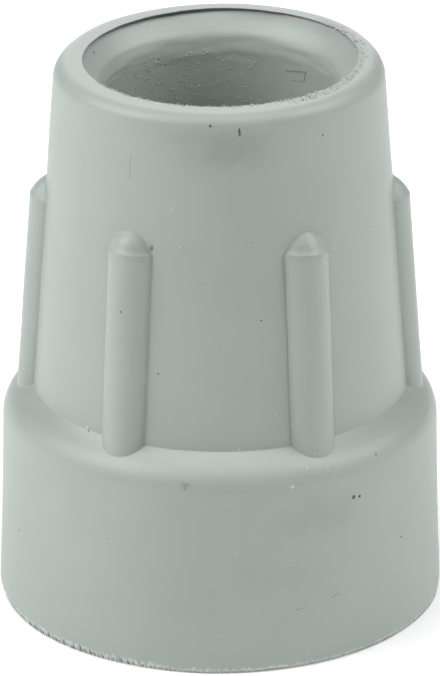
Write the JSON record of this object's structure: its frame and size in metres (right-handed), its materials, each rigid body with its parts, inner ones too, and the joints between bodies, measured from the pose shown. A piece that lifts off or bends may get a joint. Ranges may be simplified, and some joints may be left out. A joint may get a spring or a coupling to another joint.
{
  "type": "rubber cane tip",
  "caption": "Moulded rubber tip for the end of a cane: wide ribbed sleeve with a blind shaft socket, a round shoulder and a grooved foot.",
  "frame": {"origin": "centre of the face that meets the ground", "axes": "+Z along the bore's axis, up towards the mouth that the cane goes into"},
  "size_m": [0.0428, 0.0428, 0.0543],
  "materials": {
    "rubber": "grey-green moulded rubber, matt, with small specks and moulding marks"
  },
  "bodies": {
    "root": {"rubber_tip": "rubber"}
  },
  "joints": []
}
